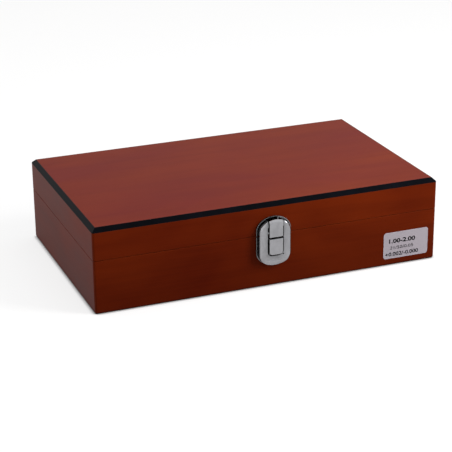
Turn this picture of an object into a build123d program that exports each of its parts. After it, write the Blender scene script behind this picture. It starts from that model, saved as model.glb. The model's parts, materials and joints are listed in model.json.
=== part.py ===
from build123d import *
import math
import os

os.makedirs("parts", exist_ok=True)

# Case with a hinged lid, a draw latch and a rack of upright jet gauges.
# Millimetres. The origin is the middle of the underside, +Z is up, and the
# latch is on the front, which faces -Y.

# Outer size of the case, whose height follows from the gauges that stand in it
case_length = 250.0
case_depth = 150.0
corner_radius = 1.6
foot_radius = 1.5

# Boards
wall = 9.0
parting_height = 37.4
parting_gap = 0.2
edge_ease = 0.25
bottom_board_thickness = 3.0
rabbet_width = 4.5
board_clearance = 0.1
top_board_thickness = 3.0
edge_land = 0.2
veneer_margin = 0.2
veneer_thickness = 0.5

# Rack, gauges, size strips and lid pad
rack_clearance = 0.3
rack_height = 30.0
rack_ease = 0.6
gauge_rows = 3
gauges_per_row = 7
gauge_length = 50.0
first_gauge_diameter = 1.0
gauge_step = 0.05
gauge_clearance = 0.05
hole_floor = 1.0
strip_width = 8.0
strip_thickness = 0.2
strip_gap = 5.0
strip_end_margin = 5.0
pad_thickness = 2.7
pad_clearance = 0.5
pad_gap = 0.3

# Two butt hinges let into the parting edges at the back
hinge_spacing = 150.0
hinge_length = 24.0
leaf_thickness = 0.8
leaf_margin = 1.0
barrel_radius = 1.8
barrel_inset = 1.0
knuckle_gap = 0.3
hinge_pin_radius = 0.9
running_clearance = 0.05
moving_clearance = 0.3
back_bevel = 1.2
mortise_clearance = 0.1

# Countersunk screws for the hinges and the latch
screw_head_radius = 1.45
screw_head_height = 0.8
screw_shank_radius = 0.7
screw_length = 6.0
screw_slot_width = 0.4
screw_slot_depth = 0.35
screw_clearance = 0.05
hinge_screw_spacing = 13.0

# Draw latch. Its heights are above the parting line and its reaches are out of the front.
latch_centre = 1.05
tab_half_width = 4.8
tab_reach = 6.0
tab_face_thickness = 1.0
tab_gap = 1.4
tab_gap_height = -0.7

# Hook on the lid's back plate
hook_height = 12.2
hook_bevel_height = 1.4
hook_bevel_depth = 0.8
hook_lip_height = 1.6
hook_lip_depth = 0.5
hook_web_height = 4.0
hook_web_rise = 2.3
hook_web_inset = 1.2

# Lever on the base, its ears and the pins
lever_length = 11.3
lever_corner_radius = 2.4
lever_edge_radius = 0.6
lever_pin_drop = 2.4
ring_pin_rise = 1.5
over_centre = 0.4
latch_pin_radius = 0.5
lug_radius = 1.2
ear_radius = 0.95
ear_gap = 0.45
ear_inset = 0.5
ear_thickness = 1.3
ring_pin_engagement = 2.0

# Ring round the two tabs
window_gap = 1.0
window_foot_gap = 1.7
window_corner_radius = 4.0
ring_side_width = 5.5
ring_foot = 6.9
ring_head_drop = 0.4
ring_end_rise = 8.6
ring_drop = 1.0
ring_bevel = 0.8
ring_lug_height = 4.9
ring_foot_curve = 7.9
ring_head_curve = 4.4
ring_end_drop = 1.9
scoop_drop = 0.8
scoop_depth = 1.1
scoop_tube_radius = 11.0
scoop_sweep_radius = 33.5
dot_radius = 0.5
dot_depth = 1.6
dot_offset = 5.7
dot_rise = 1.0

# Two back plates that make one upright oval behind the ring
plate_side_border = 1.2
plate_foot_border = 0.2
plate_head_border = 1.05
plate_end_rise = 9.65
plate_thickness = 0.8
plate_split = 1.0
rim_width = 0.6
rim_height = 0.4
keeper_screw_height = 5.8
latch_base_screw_height = -8.8

# Paper label on the front
label_length = 34.5
label_height = 19.5
label_margin = 5.6
label_low = 4.9
label_radius = 2.0
label_thickness = 0.15

# Heights worked out from the ones above
base_top = parting_height - parting_gap / 2
lid_bottom = parting_height + parting_gap / 2
rack_top = bottom_board_thickness + rack_height
gauge_low = bottom_board_thickness + hole_floor
pad_low = gauge_low + gauge_length + pad_gap
lid_wall_top = pad_low + pad_thickness
case_height = lid_wall_top + top_board_thickness

# Inside of the case
inner_length = case_length - 2 * wall
inner_depth = case_depth - 2 * wall
rack_length = inner_length - 2 * rack_clearance
rack_depth = inner_depth - 2 * rack_clearance
column_pitch = rack_length / gauges_per_row
row_pitch = rack_depth / gauge_rows

# Hinges
hinge_y = case_depth / 2 - barrel_inset
hinge_centres = [-hinge_spacing / 2, hinge_spacing / 2]
knuckle_pitch = hinge_length / 3
leaf_front = case_depth / 2 - wall + leaf_margin
leaf_width = hinge_y - leaf_front
hinge_screw_row = (leaf_front + hinge_y - barrel_radius - moving_clearance) / 2
screw_angle = 2 * math.degrees(math.atan((screw_head_radius - screw_shank_radius) / screw_head_height))

# Latch, from the tabs outwards
hook_low = tab_gap_height + tab_gap / 2
hook_top = hook_low + hook_height
hook_web_middle = hook_low + hook_web_rise + hook_web_height / 2
lever_high = tab_gap_height - tab_gap / 2
lever_low = lever_high - lever_length
lever_pin_height = lever_high - lever_pin_drop
ring_pin_height = lever_low + ring_pin_rise
lever_pin_reach = tab_reach - tab_face_thickness - ear_gap - ear_radius
ring_pin_reach = lever_pin_reach - over_centre
ear_half_span = tab_half_width - ear_inset
window_half_width = tab_half_width + window_gap
window_low = lever_low - window_foot_gap
ring_half_width = window_half_width + ring_side_width
ring_low = window_low - ring_foot
ring_high = hook_top - ring_head_drop
ring_back = plate_thickness + rim_height + moving_clearance
ring_reach = tab_reach - ring_drop
ring_pin_half_length = window_half_width + ring_pin_engagement
plate_half_width = ring_half_width + plate_side_border
plate_low = ring_low - plate_foot_border
plate_high = hook_top + plate_head_border
latch_screw_spread = window_half_width + ring_side_width / 2

# The latch's planes cross at the parting line: one lies on the front of the case and
# one stands square to it, with its own x running out of the front
front_face = Plane.XZ.offset(case_depth / 2)
latch_face = Plane(
    origin=(latch_centre, -case_depth / 2, parting_height), x_dir=(1, 0, 0), z_dir=(0, -1, 0)
)
latch_section = Plane(
    origin=(latch_centre, -case_depth / 2, parting_height), x_dir=(0, -1, 0), z_dir=(-1, 0, 0)
)


def save(builder, name):
    builder.part.label = name
    export_step(builder.part, "parts/" + name + ".step")


def board_footprint(side):
    """Trapezoid between the mitres of one side of the frame."""
    a = case_length / 2
    b = case_depth / 2
    corners = {
        "front": [(-a, -b), (a, -b), (a - wall, -b + wall), (-a + wall, -b + wall)],
        "back": [(a, b), (-a, b), (-a + wall, b - wall), (a - wall, b - wall)],
        "left": [(-a, b), (-a, -b), (-a + wall, -b + wall), (-a + wall, b - wall)],
        "right": [(a, -b), (a, b), (a - wall, b - wall), (a - wall, -b + wall)],
    }
    Polygon(*corners[side], align=None)


def cut_back_bevel(parting_face, into_wood):
    """Bevel along the back parting edge, where the open lid comes to rest on the base."""
    with BuildSketch(Plane.YZ) as bevel:
        Polygon(
            (case_depth / 2, parting_face),
            (case_depth / 2 - back_bevel, parting_face),
            (case_depth / 2, parting_face + into_wood * back_bevel),
            align=None,
        )
    extrude(bevel.sketch, amount=case_length / 2, both=True, mode=Mode.SUBTRACT)


def cut_hinge_seats(parting_face, into_wood):
    """Leaf mortises, barrel reliefs and screw holes of one back board.

    parting_face is the height of the board's parting edge, and into_wood is
    +1 when the wood lies above it and -1 when it lies below.
    """
    leaf_back = case_depth / 2 - leaf_front
    for centre in hinge_centres:
        with BuildSketch(Plane.XY.offset(parting_face)) as mortise:
            with Locations((centre, leaf_front - mortise_clearance)):
                Rectangle(
                    hinge_length + 2 * mortise_clearance,
                    leaf_back + mortise_clearance,
                    align=(Align.CENTER, Align.MIN),
                )
        extrude(mortise.sketch, amount=into_wood * leaf_thickness, mode=Mode.SUBTRACT)
        with Locations(Location((centre, hinge_y, parting_height), (0, 90, 0))):
            Cylinder(
                barrel_radius + moving_clearance,
                hinge_length + 2 * moving_clearance,
                mode=Mode.SUBTRACT,
            )
        with BuildSketch(Plane.XY.offset(parting_face)) as screw_holes:
            with Locations(*hinge_screw_places(centre)):
                Circle(screw_shank_radius + screw_clearance)
        hole_depth = screw_length + screw_clearance
        extrude(screw_holes.sketch, amount=into_wood * hole_depth, mode=Mode.SUBTRACT)


def hinge_screw_places(centre):
    return [
        (centre - hinge_screw_spacing / 2, hinge_screw_row),
        (centre + hinge_screw_spacing / 2, hinge_screw_row),
    ]


def latch_screw_places(height):
    return [(-latch_screw_spread, height), (latch_screw_spread, height)]


def cut_latch_screw_holes(height):
    """Screw holes into the front board behind one back plate."""
    with BuildSketch(latch_face) as screw_holes:
        with Locations(*latch_screw_places(height)):
            Circle(screw_shank_radius + screw_clearance)
    hole_depth = screw_length - plate_thickness + screw_clearance
    extrude(screw_holes.sketch, amount=-hole_depth, mode=Mode.SUBTRACT)


# Base boards, with a rabbet for the bottom board
for side in ["front", "back", "left", "right"]:
    with BuildPart() as base_board:
        with BuildSketch():
            RectangleRounded(case_length, case_depth, corner_radius)
        extrude(amount=base_top)
        fillet(base_board.faces().sort_by(Axis.Z)[0].edges(), foot_radius)
        chamfer(base_board.faces().sort_by(Axis.Z)[-1].edges(), edge_ease)
        with BuildSketch():
            Rectangle(inner_length, inner_depth)
        extrude(amount=base_top, mode=Mode.SUBTRACT)
        with BuildSketch():
            Rectangle(inner_length + 2 * rabbet_width, inner_depth + 2 * rabbet_width)
        extrude(amount=bottom_board_thickness, mode=Mode.SUBTRACT)
        with BuildSketch():
            board_footprint(side)
        extrude(amount=base_top, mode=Mode.INTERSECT)
        if side == "front":
            cut_latch_screw_holes(latch_base_screw_height)
        else:
            cut_back_bevel(base_top, -1)
        if side == "back":
            cut_hinge_seats(base_top, -1)
    save(base_board, "base_" + side + "_board")

# Bottom board
with BuildPart() as bottom_board:
    with BuildSketch():
        Rectangle(
            inner_length + 2 * (rabbet_width - board_clearance),
            inner_depth + 2 * (rabbet_width - board_clearance),
        )
    extrude(amount=bottom_board_thickness)
save(bottom_board, "base_bottom_board")

# Lid boards
for side in ["front", "back", "left", "right"]:
    with BuildPart() as lid_board:
        with BuildSketch(Plane.XY.offset(lid_bottom)):
            RectangleRounded(case_length, case_depth, corner_radius)
        extrude(amount=lid_wall_top - lid_bottom)
        chamfer(lid_board.faces().sort_by(Axis.Z)[0].edges(), edge_ease)
        with BuildSketch(Plane.XY.offset(lid_bottom)):
            Rectangle(inner_length, inner_depth)
        extrude(amount=lid_wall_top - lid_bottom, mode=Mode.SUBTRACT)
        with BuildSketch(Plane.XY.offset(lid_bottom)):
            board_footprint(side)
        extrude(amount=lid_wall_top - lid_bottom, mode=Mode.INTERSECT)
        if side == "front":
            cut_latch_screw_holes(keeper_screw_height)
        else:
            cut_back_bevel(lid_bottom, 1)
        if side == "back":
            cut_hinge_seats(lid_bottom, 1)
    save(lid_board, "lid_" + side + "_board")

# Top board: bevelled all round, with a shallow recess for the veneer
veneer_inset = top_board_thickness - edge_land + veneer_margin
veneer_length = case_length - 2 * veneer_inset
veneer_depth = case_depth - 2 * veneer_inset

with BuildPart() as top_board:
    with BuildSketch(Plane.XY.offset(lid_wall_top)):
        RectangleRounded(case_length, case_depth, corner_radius)
    extrude(amount=top_board_thickness)
    with BuildSketch(Plane.XY.offset(lid_wall_top)):
        Rectangle(case_length + 2 * edge_land, case_depth + 2 * edge_land)
    extrude(amount=top_board_thickness, taper=45, mode=Mode.INTERSECT)
    with BuildSketch(Plane.XY.offset(case_height)):
        Rectangle(veneer_length, veneer_depth)
    extrude(amount=-veneer_thickness, mode=Mode.SUBTRACT)
save(top_board, "lid_top_board")

with BuildPart() as top_veneer:
    with BuildSketch(Plane.XY.offset(case_height - veneer_thickness)):
        Rectangle(veneer_length, veneer_depth)
    extrude(amount=veneer_thickness)
save(top_veneer, "lid_top_veneer")

# Soft pad under the top board
with BuildPart() as lid_pad:
    with BuildSketch(Plane.XY.offset(pad_low)):
        Rectangle(inner_length - 2 * pad_clearance, inner_depth - 2 * pad_clearance)
    extrude(amount=lid_wall_top - pad_low)
save(lid_pad, "lid_pad")


def gauge_place(row, column):
    x = (column - (gauges_per_row - 1) / 2) * column_pitch
    y = ((gauge_rows - 1) / 2 - row) * row_pitch
    return (x, y)


def gauge_radius(row, column):
    number = row * gauges_per_row + column
    return (first_gauge_diameter + number * gauge_step) / 2


# Rack drilled for one gauge per hole, smallest at the back left
with BuildPart() as rack:
    with BuildSketch(Plane.XY.offset(bottom_board_thickness)):
        Rectangle(rack_length, rack_depth)
    extrude(amount=rack_height)
    chamfer(rack.faces().sort_by(Axis.Z)[-1].edges(), rack_ease)
    with BuildSketch(Plane.XY.offset(gauge_low)):
        for row in range(gauge_rows):
            for column in range(gauges_per_row):
                with Locations(gauge_place(row, column)):
                    Circle(gauge_radius(row, column) + gauge_clearance)
    extrude(amount=rack_top - gauge_low, mode=Mode.SUBTRACT)
save(rack, "gauge_rack")

# Gauges, one node for each row
for row in range(gauge_rows):
    with BuildPart() as gauge_row:
        with BuildSketch(Plane.XY.offset(gauge_low)):
            for column in range(gauges_per_row):
                with Locations(gauge_place(row, column)):
                    Circle(gauge_radius(row, column))
        extrude(amount=gauge_length)
    save(gauge_row, "gauges_row_" + str(row + 1))

# Paper strips with the sizes, in front of each row
with BuildPart() as size_strips:
    with BuildSketch(Plane.XY.offset(rack_top)):
        for row in range(gauge_rows):
            with Locations((0, gauge_place(row, 0)[1] - strip_gap - strip_width / 2)):
                Rectangle(inner_length - 2 * strip_end_margin, strip_width)
    extrude(amount=strip_thickness)
save(size_strips, "size_strips")


def hinge_leaf(centre, parting_face, into_wood, own_thirds):
    """One leaf with its knuckles. own_thirds lists which thirds of the barrel it carries."""
    other_thirds = [third for third in [-1, 0, 1] if third not in own_thirds]
    with BuildPart() as leaf:
        with BuildSketch(Plane.XY.offset(parting_face)):
            with Locations((centre, leaf_front)):
                Rectangle(hinge_length, leaf_width, align=(Align.CENTER, Align.MIN))
        extrude(amount=into_wood * leaf_thickness)
        for third in other_thirds:
            cut_length = knuckle_pitch + knuckle_gap * (1 if third == 0 else 2)
            with BuildSketch(Plane.XY.offset(parting_face)):
                shift = third * knuckle_gap / 2
                with Locations((centre + third * knuckle_pitch + shift, hinge_y)):
                    Rectangle(cut_length, 2 * (barrel_radius + moving_clearance))
            extrude(amount=into_wood * leaf_thickness, mode=Mode.SUBTRACT)
        for third in own_thirds:
            knuckle_length = knuckle_pitch - knuckle_gap * (1 if third == 0 else 0.5)
            shift = third * knuckle_gap / 4
            middle = centre + third * knuckle_pitch + shift
            with Locations(Location((middle, hinge_y, parting_height), (0, 90, 0))):
                Cylinder(barrel_radius, knuckle_length)
        with Locations(Location((centre, hinge_y, parting_height), (0, 90, 0))):
            Cylinder(hinge_pin_radius + running_clearance, hinge_length, mode=Mode.SUBTRACT)
        for x, y in hinge_screw_places(centre):
            facing = Plane(origin=(x, y, parting_face), z_dir=(0, 0, -into_wood))
            with Locations(facing.location):
                CounterSinkHole(
                    radius=screw_shank_radius + screw_clearance,
                    counter_sink_radius=screw_head_radius + screw_clearance,
                    depth=leaf_thickness,
                    counter_sink_angle=screw_angle,
                )
    return leaf


for name, centre in zip(["left", "right"], hinge_centres):
    save(hinge_leaf(centre, base_top, -1, [-1, 1]), "hinge_" + name + "_base_leaf")
    save(hinge_leaf(centre, lid_bottom, 1, [0]), "hinge_" + name + "_lid_leaf")

with BuildPart() as hinge_pins:
    for centre in hinge_centres:
        with Locations(Location((centre, hinge_y, parting_height), (0, 90, 0))):
            Cylinder(hinge_pin_radius, hinge_length)
save(hinge_pins, "hinge_pins")


def add_screw():
    """Slotted countersunk screw at each place, with its head facing outwards."""
    with Locations((0, 0, -screw_head_height)):
        Cone(
            screw_shank_radius,
            screw_head_radius,
            screw_head_height,
            align=(Align.CENTER, Align.CENTER, Align.MIN),
        )
        Cylinder(
            screw_shank_radius,
            screw_length - screw_head_height,
            align=(Align.CENTER, Align.CENTER, Align.MAX),
        )
    Box(2 * screw_head_radius, screw_slot_width, 2 * screw_slot_depth, mode=Mode.SUBTRACT)


def hinge_screws(parting_face, into_wood):
    heads = []
    for centre in hinge_centres:
        for x, y in hinge_screw_places(centre):
            heads.append(Plane(origin=(x, y, parting_face), z_dir=(0, 0, -into_wood)))
    with BuildPart() as screws:
        with Locations(*heads):
            add_screw()
    return screws


def latch_screws(height):
    with BuildPart() as screws:
        with Locations(latch_face.offset(plate_thickness)):
            with Locations(*latch_screw_places(height)):
                add_screw()
    return screws


save(hinge_screws(base_top, -1), "hinge_base_screws")
save(hinge_screws(lid_bottom, 1), "hinge_lid_screws")
save(latch_screws(latch_base_screw_height), "latch_base_screws")
save(latch_screws(keeper_screw_height), "latch_keeper_screws")


def oval(half_width, low, high, end_rise):
    """Upright oval: straight sides with half-elliptical ends."""
    side_low = low + end_rise
    side_high = high - end_rise
    with BuildLine() as outline:
        Line((half_width, side_low), (half_width, side_high))
        EllipticalCenterArc((0, side_high), half_width, end_rise, 0, arc_size=180)
        Line((-half_width, side_high), (-half_width, side_low))
        EllipticalCenterArc((0, side_low), half_width, end_rise, 180, arc_size=180)
    make_face(outline.edges())


def half_of_sketch(low, high):
    """Keeps the part of the sketch between two heights."""
    with Locations((0, (low + high) / 2)):
        Rectangle(2 * plate_half_width, high - low, mode=Mode.INTERSECT)


def add_back_plate(low, high, screw_height):
    """Half of the oval back plate, with a raised rim and two countersunk holes."""
    with BuildSketch(latch_face) as outline:
        oval(plate_half_width, plate_low, plate_high, plate_end_rise)
        half_of_sketch(low, high)
    extrude(outline.sketch, amount=plate_thickness + rim_height)
    with BuildSketch(latch_face.offset(plate_thickness)) as inside_rim:
        oval(
            plate_half_width - rim_width,
            plate_low + rim_width,
            plate_high - rim_width,
            plate_end_rise - rim_width,
        )
    extrude(inside_rim.sketch, amount=rim_height, mode=Mode.SUBTRACT)
    with Locations(latch_face.offset(plate_thickness)):
        with Locations(*latch_screw_places(screw_height)):
            CounterSinkHole(
                radius=screw_shank_radius + screw_clearance,
                counter_sink_radius=screw_head_radius + screw_clearance,
                depth=plate_thickness,
                counter_sink_angle=screw_angle,
            )


# Keeper: back plate on the lid with the upturned hook that the ring pulls on
with BuildPart() as keeper:
    tab_back = latch_face.offset(tab_reach - tab_face_thickness)
    with BuildSketch(tab_back):
        oval(ring_half_width, ring_low, hook_top, ring_end_rise)
    extrude(amount=tab_face_thickness)
    hook_face = keeper.faces().sort_by(Axis.Y)[0]
    chamfer(hook_face.edges(), hook_bevel_height, hook_bevel_depth, reference=hook_face)
    with BuildSketch(tab_back):
        with Locations((0, (hook_low + hook_top) / 2)):
            Rectangle(2 * tab_half_width, hook_height)
    extrude(amount=tab_face_thickness, mode=Mode.INTERSECT)
    with BuildSketch(tab_back):
        oval(ring_half_width, ring_low, hook_top, ring_end_rise)
        with Locations((0, hook_top)):
            Rectangle(2 * tab_half_width, 2 * hook_lip_height, mode=Mode.INTERSECT)
    extrude(amount=-hook_lip_depth)
    add_back_plate(plate_split / 2, plate_high, keeper_screw_height)
    with BuildSketch(latch_face):
        with Locations((0, hook_web_middle)):
            Rectangle(2 * (tab_half_width - hook_web_inset), hook_web_height)
    extrude(amount=tab_reach - tab_face_thickness / 2)
save(keeper, "latch_keeper")

# Base plate with two ears for the lever
with BuildPart() as base_plate:
    add_back_plate(plate_low, -plate_split / 2, latch_base_screw_height)
    for direction in [-1, 1]:
        ear_middle = direction * (ear_half_span - ear_thickness / 2)
        with BuildSketch(latch_section.offset(ear_middle)):
            with Locations((lever_pin_reach, lever_pin_height)):
                Circle(ear_radius)
            with Locations((0, lever_pin_height)):
                Rectangle(lever_pin_reach, 2 * ear_radius, align=(Align.MIN, Align.CENTER))
            with Locations((lever_pin_reach, lever_pin_height)):
                Circle(latch_pin_radius + running_clearance, mode=Mode.SUBTRACT)
        extrude(amount=ear_thickness / 2, both=True)
save(base_plate, "latch_base_plate")

# Lever: the lower tab, with a lug between the ears and a tube for the ring's pin
lug_half_width = ear_half_span - ear_thickness - moving_clearance

with BuildPart() as lever:
    with BuildSketch(latch_face.offset(tab_reach - tab_face_thickness)):
        with Locations((0, (lever_low + lever_high) / 2)):
            Rectangle(2 * tab_half_width, lever_high - lever_low)
        lower_corners = vertices().group_by(Axis.Y)[0]
        fillet(lower_corners, lever_corner_radius)
    extrude(amount=tab_face_thickness)
    top_front_edge = edges().filter_by(Axis.X).group_by(Axis.Z)[-1].sort_by(Axis.Y)[0]
    fillet(top_front_edge, lever_edge_radius)
    lugs = [
        (lever_pin_reach, lever_pin_height, lug_half_width),
        (ring_pin_reach, ring_pin_height, tab_half_width),
    ]
    for reach, height, half_width in lugs:
        with BuildSketch(latch_section):
            with Locations((reach, height)):
                Circle(lug_radius)
                Rectangle(
                    tab_reach - tab_face_thickness / 2 - reach,
                    2 * lug_radius,
                    align=(Align.MIN, Align.CENTER),
                )
        extrude(amount=half_width, both=True)
    for reach, height, half_width in lugs:
        with BuildSketch(latch_section):
            with Locations((reach, height)):
                Circle(latch_pin_radius + running_clearance)
        extrude(amount=half_width, both=True, mode=Mode.SUBTRACT)
save(lever, "latch_lever")

with BuildPart() as lever_pin:
    with BuildSketch(latch_section):
        with Locations((lever_pin_reach, lever_pin_height)):
            Circle(latch_pin_radius)
    extrude(amount=ear_half_span, both=True)
save(lever_pin, "latch_lever_pin")

# Ring: a horseshoe that clasps the hook, hung on the lever, with a finger scoop and a
# punched dot below the window
with BuildPart() as ring:
    with BuildSketch(latch_face.offset(ring_back)):
        oval(ring_half_width, ring_low, ring_high, ring_end_rise)
    extrude(amount=ring_reach - ring_back)
    chamfer(ring.faces().sort_by(Axis.Y)[0].edges(), ring_bevel)
    with BuildSketch(latch_face.offset(ring_back)):
        with Locations((0, window_low)):
            Rectangle(
                2 * window_half_width,
                ring_high - window_low,
                align=(Align.CENTER, Align.MIN),
            )
        fillet(vertices().group_by(Axis.Y)[0], window_corner_radius)
        lug_reach = window_gap - moving_clearance
        for direction in [-1, 1]:
            with Locations((direction * (window_half_width - lug_reach / 2), ring_high)):
                Rectangle(
                    lug_reach,
                    ring_lug_height,
                    align=(Align.CENTER, Align.MAX),
                    mode=Mode.SUBTRACT,
                )
    extrude(amount=ring_reach - ring_back, mode=Mode.SUBTRACT)
    with BuildSketch(latch_section):
        low_nose = (ring_reach - ring_end_drop, ring_low)
        high_nose = (ring_reach - ring_end_drop, ring_high)
        flat_start = (ring_reach, ring_low + ring_foot_curve)
        flat_end = (ring_reach, ring_high - ring_head_curve)
        with BuildLine():
            Line(flat_start, flat_end)
            TangentArc(flat_end, high_nose, tangent=(0, 1))
            Polyline(high_nose, (ring_back, ring_high), (ring_back, ring_low), low_nose)
            TangentArc(flat_start, low_nose, tangent=(0, -1))
        make_face()
    extrude(amount=ring_half_width, both=True, mode=Mode.INTERSECT)
    scoop_axis = -case_depth / 2 - ring_reach + scoop_depth - scoop_sweep_radius
    with Locations((latch_centre, scoop_axis, parting_height + window_low - scoop_drop)):
        Torus(
            scoop_sweep_radius - scoop_tube_radius,
            scoop_tube_radius,
            mode=Mode.SUBTRACT,
        )
    with BuildSketch(latch_face.offset(ring_reach)):
        with Locations((dot_offset, window_low + dot_rise)):
            Circle(dot_radius)
    extrude(amount=-dot_depth, mode=Mode.SUBTRACT)
    with BuildSketch(latch_section):
        with Locations((ring_pin_reach, ring_pin_height)):
            Circle(latch_pin_radius + running_clearance)
    extrude(amount=ring_pin_half_length + running_clearance, both=True, mode=Mode.SUBTRACT)
save(ring, "latch_ring")

with BuildPart() as ring_pin:
    with BuildSketch(latch_section):
        with Locations((ring_pin_reach, ring_pin_height)):
            Circle(latch_pin_radius)
    extrude(amount=ring_pin_half_length, both=True)
save(ring_pin, "latch_ring_pin")

# Label
with BuildPart() as label:
    with BuildSketch(front_face):
        label_right = case_length / 2 - label_margin
        with Locations((label_right - label_length / 2, label_low + label_height / 2)):
            RectangleRounded(label_length, label_height, label_radius)
    extrude(amount=label_thickness)
save(label, "label")
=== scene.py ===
import json
import math

import bmesh
import bpy
from mathutils import Matrix, Vector


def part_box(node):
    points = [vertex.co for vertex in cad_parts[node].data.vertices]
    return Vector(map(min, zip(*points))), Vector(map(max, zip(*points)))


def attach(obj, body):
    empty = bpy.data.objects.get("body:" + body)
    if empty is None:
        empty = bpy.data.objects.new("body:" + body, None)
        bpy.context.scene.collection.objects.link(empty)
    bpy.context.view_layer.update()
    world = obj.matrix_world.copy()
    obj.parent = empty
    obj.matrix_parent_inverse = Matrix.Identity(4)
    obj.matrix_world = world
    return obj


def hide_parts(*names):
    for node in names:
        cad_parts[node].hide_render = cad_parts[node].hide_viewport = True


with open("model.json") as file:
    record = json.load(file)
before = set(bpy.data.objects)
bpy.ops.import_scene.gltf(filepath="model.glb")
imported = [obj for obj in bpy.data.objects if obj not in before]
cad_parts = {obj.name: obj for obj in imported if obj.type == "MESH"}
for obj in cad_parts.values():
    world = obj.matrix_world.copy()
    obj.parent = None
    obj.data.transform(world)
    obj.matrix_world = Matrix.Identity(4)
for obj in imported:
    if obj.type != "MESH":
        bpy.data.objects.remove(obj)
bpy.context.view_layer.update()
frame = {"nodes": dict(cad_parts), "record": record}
nodes = frame["nodes"]

# Camera, fitted to the edges of the case. Metres and degrees, and millimetres for the sensor.
CAMERA_AZIMUTH = -21.4118
CAMERA_ELEVATION = 21.6441
CAMERA_ROLL = -0.5231
CAMERA_DISTANCE = 1.104549
CAMERA_TARGET = Vector((-0.0033440, 0.000079, 0.0163044))
CAMERA_FOCAL_PIXELS = 1536.70
CAMERA_NEAR = 0.01
CAMERA_FAR = 50.0
IMAGE_PIXELS = 452
SENSOR_WIDTH = 36.0

# Colours, in linear light
CHERRY_DARK = (0.084, 0.0063, 0.0009)
CHERRY_LIGHT = (0.156, 0.0172, 0.0020)
# End boards: the front's cherry drawn paler, as painted light on the ends.
LIT_END_DARK = (0.098, 0.0075, 0.0020)
LIT_END_PALE = (0.172, 0.0185, 0.0045)
# Top veneer: its own piece of cherry, drawn paler and greyer as painted light and sheen on the top.
LIT_TOP_DARK = (0.158, 0.0115, 0.0062)
LIT_TOP_PALE = (0.203, 0.0275, 0.0078)
STAIN_PORE = (0.02, 0.003, 0.001)
STAIN_WORN = (0.26, 0.060, 0.018)
BLACK_LACQUER = (0.0015, 0.0017, 0.0026)
BLACK_RUBBED = (0.003, 0.0036, 0.006)
FIBREBOARD = (0.20, 0.10, 0.05)
FIBREBOARD_PALE = (0.30, 0.17, 0.09)
FIBREBOARD_DARK = (0.14, 0.07, 0.035)
CHROME = (0.42, 0.42, 0.44)
# Painted highlight along the chrome's edges
CHROME_PAINTED_HIGHLIGHT = (0.58, 0.58, 0.59)
NICKEL = (0.50, 0.48, 0.45)
GAUGE_STEEL = (0.55, 0.56, 0.57)
RACK_PLASTIC = (0.66, 0.65, 0.60)
PAPER = (0.74, 0.73, 0.70)
LABEL_SILVER = (0.38, 0.345, 0.385)
INK = (0.012, 0.012, 0.016)
INK_THIN = (0.05, 0.05, 0.06)
FOAM = (0.020, 0.021, 0.024)
FLOOR_WHITE = (0.34, 0.34, 0.34)
WHITE = (1.0, 1.0, 1.0)
WARM_WHITE = (1.0, 0.98, 0.96)
COOL_WHITE = (0.93, 0.95, 1.0)

# Wood: how far its grain and its clouds are drawn out, and the painted shade that darkens it near the
# floor
GRAIN_STRETCH = 0.06
CLOUD_STRETCH = 0.45
PAINTED_SHADE_HEIGHT = 0.050
PAINTED_FOOT_SHADE = 0.35

# Printing on the strips, each number and line placed from the gauge behind it
INK_THICKNESS = 0.00004
LETTER_STEPS = 3
FIRST_GAUGE = 1.0
GAUGE_STEP = 0.05
GAUGES_APART = 0.004
MILLIMETRE_DIGITS = 3
NUMBER_LINE = 0.009
NUMBER_HEIGHT = 0.0034
NUMBER_WIDTH = 0.0084
NUMBER_WEIGHT = 0.012
RULE_BACK = 0.0053
RULE_FRONT = 0.0127
RULE_WIDTH = 0.0002
RULE_MARGIN = 0.001
TICK_LENGTH = 0.0015

# Printing on the label
LABEL_ROWS = [
    # words, left and low of the row from the label's corner, height, width, weight
    ("1.00-2.00", 0.0041, 0.0112, 0.0034, 0.0205, 0.035),
    ("21/50/0.05", 0.0050, 0.0067, 0.0023, 0.0182, 0.010),
    ("+0.002/-0.000", 0.0014, 0.0016, 0.0030, 0.0258, 0.025),
]

# Foam pad of the lid
FOAM_CELL = 0.003
FOAM_CORNER = 0.003
FOAM_EDGE = 0.0009
FOAM_UNEVEN = 0.00006
FOAM_WAVES_X = 95
FOAM_WAVES_Y = 110
FOAM_SKEW = 30
DENT_RADIUS = 0.0022
DENT_DEPTH = 0.00035
DENT_REACH = 2
FACES_DOWN = -0.9
SAME_HEIGHT = 1e-6
SAME_PLACE = 1e-7

# Floor, world and the shading of gaps
FLOOR_REACH = 6.0
FLOOR_ROUGHNESS = 0.9
FLOOR_GLOW = 0.72
FLOOR_IN_MIRROR = 0.6
# Painted shadow under the case: how near the floor glows less, and how dark it gets
PAINTED_SHADOW_DISTANCE = 0.004
PAINTED_SHADOW_DARK = 0.35
PAINTED_SHADOW_CLEAR = 0.85
WORLD_LIGHT = 0.5
WORLD_SEEN = 1.0
OPENNESS_SAMPLES = 8
EDGE_SAMPLES = 6

# Lamps. Mirrors don't show the key lamp, which would be a hard white block there.
LAMPS = [
    # name, place, target, size, power, colour, shown in mirrors
    ("key", (0.60, -0.50, 0.44), (0.05, 0, 0.04), (0.3, 0.8), 7.2, WARM_WHITE, False),
    ("top", (0.0, 0.2, 1.4), (0, 0, 0), (1.2, 1.0), 3.0, WHITE, True),
    ("left", (-1.3, -0.3, 0.7), (0, 0, 0.03), (0.8, 0.6), 2.5, COOL_WHITE, True),
    ("shoulder", (0.72, -0.13, 0.36), (0, -0.08, 0.04), (0.14, 0.14), 0.25, WHITE, True),
    ("streak", (-0.27, -0.52, 0.86), (0, -0.08, 0.03), (0.5, 0.08), 0.25, WHITE, True),
]


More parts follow.
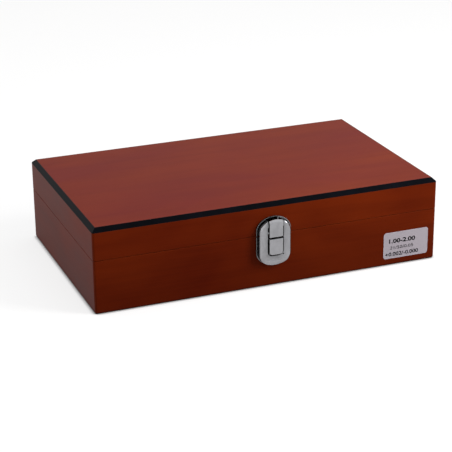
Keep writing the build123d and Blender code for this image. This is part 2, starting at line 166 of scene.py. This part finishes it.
# Finishes
class Nodes:
    """Short ways to add nodes to a tree and to feed them."""

    def __init__(self, tree):
        self.tree = tree

    def add(self, kind, **settings):
        made = self.tree.nodes.new(kind)
        for name, value in settings.items():
            setattr(made, name, value)
        return made

    def feed(self, socket, value):
        """Joins another node's output to a socket, or writes a number or a colour into it."""
        if hasattr(value, "links"):
            self.tree.links.new(value, socket)
        elif socket.type == "RGBA":
            socket.default_value = (*value, 1.0)
        else:
            socket.default_value = value

    def combined(self, operation, first, second):
        made = self.add("ShaderNodeMath", operation=operation)
        self.feed(made.inputs[0], first)
        self.feed(made.inputs[1], second)
        return made.outputs[0]

    def between(self, value, low, high, to_low=0.0, to_high=1.0):
        """Draws the range from low to high out to the range from to_low to to_high."""
        made = self.add("ShaderNodeMapRange")
        made.inputs["From Min"].default_value = low
        made.inputs["From Max"].default_value = high
        made.inputs["To Min"].default_value = to_low
        made.inputs["To Max"].default_value = to_high
        self.feed(made.inputs["Value"], value)
        return made.outputs["Result"]

    def openness(self, distance):
        """1 in the open and less where something lies within the distance."""
        made = self.add("ShaderNodeAmbientOcclusion", samples=OPENNESS_SAMPLES)
        made.inputs["Distance"].default_value = distance
        return made.outputs["AO"]

    def seen_directly(self, in_mirror=1.0):
        """1 for rays from the camera or through glass and in_mirror for rays from a mirror."""
        path = self.add("ShaderNodeLightPath")
        mirror = self.combined("MULTIPLY", path.outputs["Is Glossy Ray"], in_mirror)
        seen = self.combined("MAXIMUM", path.outputs["Is Camera Ray"], mirror)
        return self.combined("MAXIMUM", seen, path.outputs["Is Transmission Ray"])


class Finish(Nodes):
    """A new material whose patterns lie on Object coordinates."""

    def __init__(self, name):
        self.material = bpy.data.materials.new(name)
        self.material.use_nodes = True
        super().__init__(self.material.node_tree)
        self.surface = self.tree.nodes["Principled BSDF"]
        self.place = self.add("ShaderNodeTexCoord").outputs["Object"]

    def set(self, **values):
        for name, value in values.items():
            self.feed(self.surface.inputs[name.replace("_", " ")], value)

    def stretched(self, scale):
        mapping = self.add("ShaderNodeMapping")
        mapping.inputs["Scale"].default_value = scale
        self.feed(mapping.inputs["Vector"], self.place)
        return mapping.outputs["Vector"]

    def noise(self, scale, detail=2.0, roughness=0.5, stretch=(1.0, 1.0, 1.0), distortion=0.0):
        """A cloudy pattern. A stretch below 1 draws it out along that axis."""
        made = self.add("ShaderNodeTexNoise")
        made.inputs["Scale"].default_value = scale
        made.inputs["Detail"].default_value = detail
        made.inputs["Roughness"].default_value = roughness
        made.inputs["Distortion"].default_value = distortion
        self.feed(made.inputs["Vector"], self.stretched(stretch))
        return made.outputs["Fac"]

    def blend(self, share, first, second):
        made = self.add("ShaderNodeMix", data_type="RGBA")
        colours = [s for s in made.inputs if s.type == "RGBA"]
        for socket, value in zip([made.inputs[0], *colours], [share, first, second]):
            self.feed(socket, value)
        return [s for s in made.outputs if s.type == "RGBA"][0]

    def bump(self, height, distance, strength, below=None):
        """The normal of a surface that a pattern raises, on top of the normal below it."""
        made = self.add("ShaderNodeBump")
        made.inputs["Strength"].default_value = strength
        made.inputs["Distance"].default_value = distance
        self.feed(made.inputs["Height"], height)
        if below is not None:
            self.feed(made.inputs["Normal"], below)
        return made.outputs["Normal"]

    def rounded_edges(self, radius):
        """The normal of a surface whose edges look rounded."""
        made = self.add("ShaderNodeBevel", samples=EDGE_SAMPLES)
        made.inputs["Radius"].default_value = radius
        return made.outputs["Normal"]

    def near_edges(self, radius, share=1.0, sharp=(0.97, 0.80)):
        """The share on an edge and 0 away from it. sharp says how far a normal has to turn."""
        flat = self.add("ShaderNodeNewGeometry").outputs["Normal"]
        same = self.add("ShaderNodeVectorMath", operation="DOT_PRODUCT")
        self.feed(same.inputs[0], self.rounded_edges(radius))
        self.feed(same.inputs[1], flat)
        return self.between(same.outputs["Value"], *sharp, 0.0, share)

    def in_gaps(self, distance, clear, closed, share=1.0):
        """The share deep in a gap and 0 in the open."""
        return self.between(self.openness(distance), clear, closed, 0.0, share)


def shaded(colour, share):
    """The colour made darker by a share below 1, or paler by one above it."""
    return [share * c for c in colour]


def stained_wood(name, grain, dark, light, shine, painted_foot_shade=PAINTED_FOOT_SHADE):
    """Cherry stain under satin lacquer. grain is 0 for wood that runs along X and 1 along Y."""
    made = Finish(name)
    along = [1.0, 1.0, 1.0]
    along[grain] = GRAIN_STRETCH
    broad = [1.0, 1.0, 1.0]
    broad[grain] = CLOUD_STRETCH
    clouds = made.noise(16.0, detail=3.0, roughness=0.55, stretch=broad, distortion=0.4)
    blotches = made.noise(30.0, stretch=broad, distortion=0.5)
    figure = made.noise(150.0, detail=4.0, roughness=0.6, stretch=along, distortion=0.3)
    fibres = made.noise(1100.0, detail=5.0, roughness=0.65, stretch=[v * v for v in along])
    pores = made.noise(2600.0, stretch=along)
    tone = made.blend(made.between(clouds, 0.35, 0.65), dark, light)
    tone = made.blend(made.between(blotches, 0.35, 0.70, 0.0, 0.35), tone, shaded(dark, 0.82))
    tone = made.blend(made.between(figure, 0.45, 0.75, 0.0, 0.30), tone, shaded(dark, 0.70))
    tone = made.blend(made.between(fibres, 0.40, 0.75, 0.0, 0.25), tone, light)
    tone = made.blend(made.between(pores, 0.66, 0.76, 0.0, 0.30), tone, STAIN_PORE)
    # Painted shade: the wood turns darker towards the floor, below the painted shade height.
    height = made.add("ShaderNodeSeparateXYZ")
    made.feed(height.inputs["Vector"], made.place)
    painted_shade = made.between(height.outputs["Z"], PAINTED_SHADE_HEIGHT, 0.0, 0.0, painted_foot_shade)
    tone = made.blend(painted_shade, tone, shaded(dark, 0.45))
    tone = made.blend(made.near_edges(0.0006, share=0.35), tone, STAIN_WORN)
    soft = made.rounded_edges(0.0003)
    normal = made.bump(fibres, distance=0.00002, strength=0.25, below=soft)
    made.set(Base_Color=tone, Roughness=made.between(clouds, 0.2, 0.8, 0.34, 0.44), Normal=normal)
    made.set(Specular_IOR_Level=shine)
    return made.material


def black_lacquer():
    """Black paint of the bevel, rubbed a little."""
    made = Finish("black_lacquer")
    clouds = made.noise(40.0, detail=4.0, roughness=0.6)
    rubbed = made.noise(700.0, detail=3.0, roughness=0.6)
    tone = made.blend(made.between(clouds, 0.35, 0.7), BLACK_LACQUER, BLACK_RUBBED)
    soft = made.rounded_edges(0.0002)
    normal = made.bump(rubbed, distance=0.00002, strength=0.2, below=soft)
    made.set(Base_Color=tone, Roughness=made.between(clouds, 0.3, 0.7, 0.28, 0.38), Normal=normal)
    made.set(Specular_IOR_Level=0.025)
    return made.material


def fibreboard():
    """Bare fibreboard of the case's bottom."""
    made = Finish("fibreboard")
    flecks = made.noise(1400.0, detail=4.0, roughness=0.7)
    clouds = made.noise(30.0, detail=3.0)
    tone = made.blend(made.between(flecks, 0.3, 0.7), FIBREBOARD, FIBREBOARD_PALE)
    tone = made.blend(made.between(clouds, 0.3, 0.7, 0.0, 0.3), tone, FIBREBOARD_DARK)
    normal = made.bump(flecks, distance=0.00005, strength=0.5)
    made.set(Base_Color=tone, Roughness=0.75, Normal=normal)
    made.set(Specular_IOR_Level=0.3)
    return made.material


def plated_metal(name, colour, highlight_colour, low_roughness, high_roughness, edge):
    """Plated metal: faint smears, a painted highlight along its edges, and painted shade in its
    hollows and gaps.
    """
    made = Finish(name)
    smears = made.noise(220.0, detail=4.0, roughness=0.6, stretch=(1.0, 1.0, 0.5), distortion=0.6)
    waves = made.noise(60.0, detail=1.0)
    tone = made.blend(made.between(smears, 0.35, 0.70, 0.0, 0.45), colour, shaded(colour, 0.62))
    # Painted highlight: the edges are drawn paler than the plate.
    tone = made.blend(made.near_edges(1.6 * edge, sharp=(0.993, 0.90)), tone, highlight_colour)
    # Painted shade: darker in hollows such as the finger scoop, and nearly black deep in the gaps
    # between parts.
    painted_hollow_shade = made.in_gaps(0.010, clear=0.985, closed=0.90, share=0.65)
    tone = made.blend(painted_hollow_shade, tone, shaded(colour, 0.30))
    painted_gap_shade = made.in_gaps(0.003, clear=0.74, closed=0.38)
    tone = made.blend(painted_gap_shade, tone, shaded(colour, 0.04))
    soft = made.rounded_edges(edge)
    normal = made.bump(waves, distance=0.0004, strength=0.05, below=soft)
    gloss = made.between(smears, 0.3, 0.75, low_roughness, high_roughness)
    made.set(Base_Color=tone, Metallic=1.0, Roughness=gloss, Normal=normal)
    return made.material


def ground_steel():
    """Lapped gauge pins: fine rings round the pin."""
    made = Finish("ground_steel")
    rings = made.noise(4000.0, roughness=0.6, stretch=(0.02, 0.02, 1.0))
    tone = made.blend(made.between(rings, 0.3, 0.7), GAUGE_STEEL, shaded(GAUGE_STEEL, 0.8))
    gloss = made.between(rings, 0.3, 0.7, 0.16, 0.28)
    normal = made.bump(rings, distance=0.000004, strength=0.4)
    made.set(Base_Color=tone, Metallic=1.0, Roughness=gloss, Normal=normal)
    return made.material


def milled_plastic():
    """Off-white block with the faint arcs that a milling cutter leaves."""
    made = Finish("milled_plastic")
    wave = made.add("ShaderNodeTexWave", wave_type="RINGS", rings_direction="Z")
    wave.inputs["Scale"].default_value = 160.0
    wave.inputs["Distortion"].default_value = 0.8
    made.feed(wave.inputs["Vector"], made.stretched((1.0, 0.25, 1.0)))
    arcs = wave.outputs["Fac"]
    clouds = made.noise(25.0, detail=3.0)
    tone = made.blend(made.between(clouds, 0.3, 0.7), RACK_PLASTIC, shaded(RACK_PLASTIC, 0.92))
    soft = made.rounded_edges(0.0002)
    normal = made.bump(arcs, distance=0.00002, strength=0.25, below=soft)
    made.set(Base_Color=tone, Roughness=made.between(arcs, 0.0, 1.0, 0.42, 0.5), Normal=normal)
    made.set(Subsurface_Weight=0.1, Subsurface_Scale=0.002)
    return made.material


def printed_paper(name, colour, roughness, shine):
    """Smooth paper, drawn a little paler along its edges as a painted highlight."""
    made = Finish(name)
    fibres = made.noise(2500.0, detail=4.0, roughness=0.7)
    clouds = made.noise(60.0)
    tone = made.blend(made.between(fibres, 0.3, 0.7), colour, shaded(colour, 0.94))
    tone = made.blend(made.between(clouds, 0.35, 0.7, 0.0, 0.5), tone, shaded(colour, 0.9))
    # Painted highlight: paler along the edges.
    tone = made.blend(made.near_edges(0.0008), tone, [min(1.0, c) for c in shaded(colour, 1.25)])
    normal = made.bump(fibres, distance=0.00001, strength=0.3)
    made.set(Base_Color=tone, Roughness=roughness, Normal=normal)
    made.set(Specular_IOR_Level=shine)
    return made.material


def printing_ink():
    """Black ink, thin in places."""
    made = Finish("printing_ink")
    flecks = made.noise(5000.0)
    tone = made.blend(made.between(flecks, 0.4, 0.8, 0.0, 0.3), INK, INK_THIN)
    made.set(Base_Color=tone, Roughness=0.55)
    made.set(Specular_IOR_Level=0.3)
    return made.material


def closed_cell_foam():
    """Dark foam whose skin shows its cells."""
    made = Finish("closed_cell_foam")
    cells = made.add("ShaderNodeTexVoronoi", feature="DISTANCE_TO_EDGE")
    cells.inputs["Scale"].default_value = 2200.0
    made.feed(cells.inputs["Vector"], made.place)
    depth = made.between(cells.outputs["Distance"], 0.0, 0.25)
    tone = made.blend(depth, shaded(FOAM, 1.9), FOAM)
    normal = made.bump(depth, distance=0.0001, strength=0.6)
    made.set(Base_Color=tone, Roughness=0.85, Normal=normal)
    made.set(Specular_IOR_Level=0.3, Sheen_Weight=0.15)
    return made.material


WOOD_X = stained_wood("cherry_along_x", 0, CHERRY_DARK, CHERRY_LIGHT, shine=0.03)
WOOD_Y_PAINTED_LIGHT = stained_wood("cherry_along_y_painted_light", 1, LIT_END_DARK, LIT_END_PALE, shine=0.046)
LIT_TOP_WOOD = stained_wood("cherry_top_painted_light", 0, LIT_TOP_DARK, LIT_TOP_PALE, shine=0.025, painted_foot_shade=0.0)
BLACK = black_lacquer()
BOARD = fibreboard()
CHROME_PLATE = plated_metal("chrome_plate", CHROME, CHROME_PAINTED_HIGHLIGHT, 0.07, 0.16, edge=0.00025)
NICKEL_PLATE = plated_metal("nickel_plate", NICKEL, NICKEL, 0.2, 0.32, edge=0.0001)
STEEL = ground_steel()
PLASTIC = milled_plastic()
STRIP_PAPER = printed_paper("strip_paper", PAPER, roughness=0.6, shine=0.3)
LABEL_PAPER = printed_paper("label_paper", LABEL_SILVER, roughness=0.45, shine=0.2)
INK_PRINT = printing_ink()
FOAM_PAD = closed_cell_foam()

FINISHES = {
    "cherry_stain": WOOD_X,
    "top_veneer": LIT_TOP_WOOD,
    "black_edge": BLACK,
    "bottom_board": BOARD,
    "latch_chrome": CHROME_PLATE,
    "hinge_steel": NICKEL_PLATE,
    "gauge_steel": STEEL,
    "rack_plastic": PLASTIC,
    "strip_paper": STRIP_PAPER,
    "label_paper": LABEL_PAPER,
    "pad_foam": FOAM_PAD,
}


# Pieces
def give(piece, material):
    piece.data.materials.clear()
    piece.data.materials.append(material)


def finish_nodes():
    """Gives every node its finish, and the end boards wood that runs along Y, drawn paler than the
    front as painted light on the ends.
    """
    for row in frame["record"]["subparts"]:
        give(nodes[row["node"]], FINISHES[row["material_slot"]])
    for name in ["base_left_board", "base_right_board", "lid_left_board", "lid_right_board"]:
        give(nodes[name], WOOD_Y_PAINTED_LIGHT)


def new_piece(name, mesh_maker, material, body):
    """A piece whose mesh a bmesh fills, riding on a body."""
    mesh = bpy.data.meshes.new(name)
    work = bmesh.new()
    mesh_maker(work)
    bmesh.ops.recalc_face_normals(work, faces=work.faces)
    work.to_mesh(mesh)
    work.free()
    piece = bpy.data.objects.new(name, mesh)
    bpy.context.scene.collection.objects.link(piece)
    give(piece, material)
    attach(piece, body)
    return piece


def words_into(work, words, place, height, width, weight):
    """Adds flat printed words to a bmesh, in the plane of a matrix, from its origin."""
    curve = bpy.data.curves.new("words", "FONT")
    curve.body = words
    curve.offset = weight
    curve.resolution_u = LETTER_STEPS
    holder = bpy.data.objects.new("words", curve)
    bpy.context.scene.collection.objects.link(holder)
    bpy.context.view_layer.update()
    flat = bpy.data.meshes.new_from_object(holder)
    low = Vector([min(v.co[i] for v in flat.vertices) for i in range(3)])
    high = Vector([max(v.co[i] for v in flat.vertices) for i in range(3)])
    wide = width / (high.x - low.x)
    tall = height / (high.y - low.y)
    fit = Matrix.Diagonal((wide, tall, 1.0, 1.0)) @ Matrix.Translation(-low)
    flat.transform(place @ fit)
    work.from_mesh(flat)
    bpy.data.objects.remove(holder)
    bpy.data.meshes.remove(flat)


def thicken(work):
    """Gives flat ink its thickness."""
    bmesh.ops.remove_doubles(work, verts=work.verts, dist=SAME_PLACE)
    bmesh.ops.solidify(work, geom=work.faces, thickness=INK_THICKNESS)


def gauge_places():
    """The (x, y) of every gauge, row by row, from the meshes of the rows."""
    places = []
    for name in sorted(n for n in nodes if n.startswith("gauges_row_")):
        low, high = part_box(name)
        gauges = []
        for x in sorted({round(v.co.x, MILLIMETRE_DIGITS) for v in nodes[name].data.vertices}):
            if not gauges or x - gauges[-1][-1] > GAUGES_APART:
                gauges.append([])
            gauges[-1].append(x)
        places.append([((sides[0] + sides[-1]) / 2, (low.y + high.y) / 2) for sides in gauges])
    return places


def strip_numbers(work):
    """The size of every gauge, printed on the strip in front of it."""
    strip_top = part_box("size_strips")[1].z
    gauges = [place for row in gauge_places() for place in row]
    for number, (x, y) in enumerate(gauges):
        words = "%.2f" % (FIRST_GAUGE + GAUGE_STEP * number)
        corner = (x - NUMBER_WIDTH / 2, y - NUMBER_LINE - NUMBER_HEIGHT / 2, strip_top)
        words_into(work, words, Matrix.Translation(corner), NUMBER_HEIGHT, NUMBER_WIDTH, NUMBER_WEIGHT)
    thicken(work)


def strip_rules(work):
    """A ruled line along both edges of each strip and a tick at each gauge."""
    low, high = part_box("size_strips")
    for row in gauge_places():
        front = row[0][1] - RULE_FRONT
        back = row[0][1] - RULE_BACK
        for edge in [front, back]:
            rule(work, low.x + RULE_MARGIN, high.x - RULE_MARGIN, edge, edge + RULE_WIDTH, high.z)
        for x, _ in row:
            rule(work, x - RULE_WIDTH / 2, x + RULE_WIDTH / 2, back - TICK_LENGTH, back, high.z)
    thicken(work)


def rule(work, left, right, low, high, z):
    """Adds a flat printed line to a bmesh."""
    middle = Matrix.Translation(((left + right) / 2, (low + high) / 2, z))
    stretch = Matrix.Diagonal((right - left, high - low, 1.0, 1.0))
    bmesh.ops.create_grid(work, x_segments=1, y_segments=1, size=0.5, matrix=middle @ stretch)


def label_print(work):
    """Three rows of plain numbers on the front of the label."""
    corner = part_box("label")[0]
    upright = Matrix.Rotation(math.radians(90), 4, "X")
    for words, left, low, height, width, weight in LABEL_ROWS:
        place = Matrix.Translation((corner.x + left, corner.y, corner.z + low)) @ upright
        words_into(work, words, place, height, width, weight)
    thicken(work)


def foam_sheet(work):
    """Foam sheet with rounded corners and edges, an uneven face and a dent over each gauge."""
    low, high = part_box("lid_pad")
    size = high - low
    bmesh.ops.create_cube(work, size=1.0)
    bmesh.ops.scale(work, vec=size, verts=work.verts)
    bmesh.ops.translate(work, vec=(low + high) / 2, verts=work.verts)
    upright = [e for e in work.edges if abs(e.verts[0].co.z - e.verts[1].co.z) > size.z / 2]
    bmesh.ops.bevel(
        work, geom=upright, offset=FOAM_CORNER, segments=4, profile=0.5, affect="EDGES", material=-1
    )
    under = [f for f in work.faces if f.normal.z < FACES_DOWN]
    bmesh.ops.inset_region(work, faces=under, thickness=FOAM_EDGE, depth=0.0)
    columns = int(size.x / FOAM_CELL)
    for i in range(1, columns):
        cut_under(work, (low.x + i * size.x / columns, 0, 0), (1, 0, 0), low.z)
    rows = int(size.y / FOAM_CELL)
    for i in range(1, rows):
        cut_under(work, (0, low.y + i * size.y / rows, 0), (0, 1, 0), low.z)
    gauges = [place for row in gauge_places() for place in row]
    for v in work.verts:
        if v.co.z < low.z + SAME_HEIGHT:
            v.co.z += foam_rise(v.co, low, high, gauges)


def foam_rise(point, low, high, gauges):
    """How far the underside of the foam lies above its lowest level at a point."""
    rise = 0.0
    side = min(point.x - low.x, high.x - point.x, point.y - low.y, high.y - point.y)
    if side < FOAM_EDGE / 2:
        rise += FOAM_EDGE
    wave = math.sin(point.x * FOAM_WAVES_X) * math.sin(point.y * FOAM_WAVES_Y + point.x * FOAM_SKEW)
    rise += FOAM_UNEVEN * (1 + wave)
    for x, y in gauges:
        away = math.hypot(point.x - x, point.y - y) / DENT_RADIUS
        if away < DENT_REACH:
            rise += DENT_DEPTH * math.exp(-away * away)
    return rise


def cut_under(work, point, direction, height):
    """Cuts the underside along a plane, so that it can bend there."""
    under = [f for f in work.faces if f.normal.z < FACES_DOWN]
    flat = [f for f in under if abs(f.calc_center_median().z - height) < SAME_HEIGHT]
    edges = {e for f in flat for e in f.edges}
    corners = {v for f in flat for v in f.verts}
    geometry = [*flat, *edges, *corners]
    bmesh.ops.bisect_plane(work, geom=geometry, dist=SAME_PLACE, plane_co=point, plane_no=direction)


def make_pieces():
    """The print on the strips and the label, and the foam pad in place of its plain solid."""
    new_piece("strip_numbers", strip_numbers, INK_PRINT, "base")
    new_piece("strip_rules", strip_rules, INK_PRINT, "base")
    new_piece("label_print", label_print, INK_PRINT, "base")
    foam = new_piece("lid_foam", foam_sheet, FOAM_PAD, "lid")
    for face in foam.data.polygons:
        face.use_smooth = True
    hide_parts("lid_pad")


# Camera, floor, world and lamps
def place_camera():
    """The camera of the photograph, from its angles, its distance and the point it faces."""
    azimuth = math.radians(CAMERA_AZIMUTH)
    elevation = math.radians(CAMERA_ELEVATION)
    roll = math.radians(CAMERA_ROLL)
    level = math.cos(elevation)
    back = Vector((math.sin(azimuth) * level, -math.cos(azimuth) * level, math.sin(elevation)))
    right = (-back).cross(Vector((0, 0, 1))).normalized()
    up = right.cross(-back)
    across = right * math.cos(roll) + up * math.sin(roll)
    upward = up * math.cos(roll) - right * math.sin(roll)
    data = bpy.data.cameras.new("camera")
    data.sensor_width = SENSOR_WIDTH
    data.lens = CAMERA_FOCAL_PIXELS / IMAGE_PIXELS * SENSOR_WIDTH
    data.clip_start = CAMERA_NEAR
    data.clip_end = CAMERA_FAR
    camera = bpy.data.objects.new("camera", data)
    turn = Matrix((across, upward, back)).transposed()
    camera.matrix_world = Matrix.Translation(CAMERA_TARGET + back * CAMERA_DISTANCE) @ turn.to_4x4()
    bpy.context.scene.collection.objects.link(camera)
    bpy.context.scene.camera = camera


def pale_floor():
    """A floor that the camera sees as white, with the object's shadow and a painted dark contact
    shadow under it.
    """
    mesh = bpy.data.meshes.new("floor")
    work = bmesh.new()
    bmesh.ops.create_grid(work, x_segments=1, y_segments=1, size=FLOOR_REACH)
    work.to_mesh(mesh)
    work.free()
    floor = bpy.data.objects.new("floor", mesh)
    bpy.context.scene.collection.objects.link(floor)
    made = Finish("pale_floor")
    made.set(Base_Color=FLOOR_WHITE, Roughness=FLOOR_ROUGHNESS, Specular_IOR_Level=0.0)
    made.set(Emission_Color=WHITE)
    glow = made.combined("MULTIPLY", made.seen_directly(FLOOR_IN_MIRROR), FLOOR_GLOW)
    # Painted shadow: the floor glows less close under the case, which draws a dark line under its
    # foot.
    clear = made.between(made.openness(PAINTED_SHADOW_DISTANCE), PAINTED_SHADOW_DARK, PAINTED_SHADOW_CLEAR)
    made.set(Emission_Strength=made.combined("MULTIPLY", glow, clear))
    give(floor, made.material)


def studio_world():
    """An even pale world, which the camera and mirrors see as white."""
    world = bpy.data.worlds.new("studio")
    bpy.context.scene.world = world
    world.use_nodes = True
    made = Nodes(world.node_tree)
    background = made.tree.nodes["Background"]
    made.feed(background.inputs["Color"], WHITE)
    strength = made.between(made.seen_directly(), 0.0, 1.0, WORLD_LIGHT, WORLD_SEEN)
    made.feed(background.inputs["Strength"], strength)


def soft_lamp(name, place, target, size, power, colour, in_mirrors):
    """A rectangular lamp that faces its target."""
    data = bpy.data.lights.new(name, "AREA")
    data.shape = "RECTANGLE"
    data.size = size[0]
    data.size_y = size[1]
    data.energy = power
    data.color = colour
    lamp = bpy.data.objects.new(name, data)
    lamp.location = place
    lamp.visible_glossy = in_mirrors
    lamp.rotation_mode = "QUATERNION"
    lamp.rotation_quaternion = (Vector(target) - Vector(place)).to_track_quat("-Z", "Y")
    bpy.context.scene.collection.objects.link(lamp)


def light_studio():
    """Three soft lamps for the case and two small ones for the highlights on the latch."""
    for lamp in LAMPS:
        soft_lamp(*lamp)


finish_nodes()
make_pieces()
place_camera()
pale_floor()
studio_world()
light_studio()
bpy.context.scene.view_settings.view_transform = "Standard"
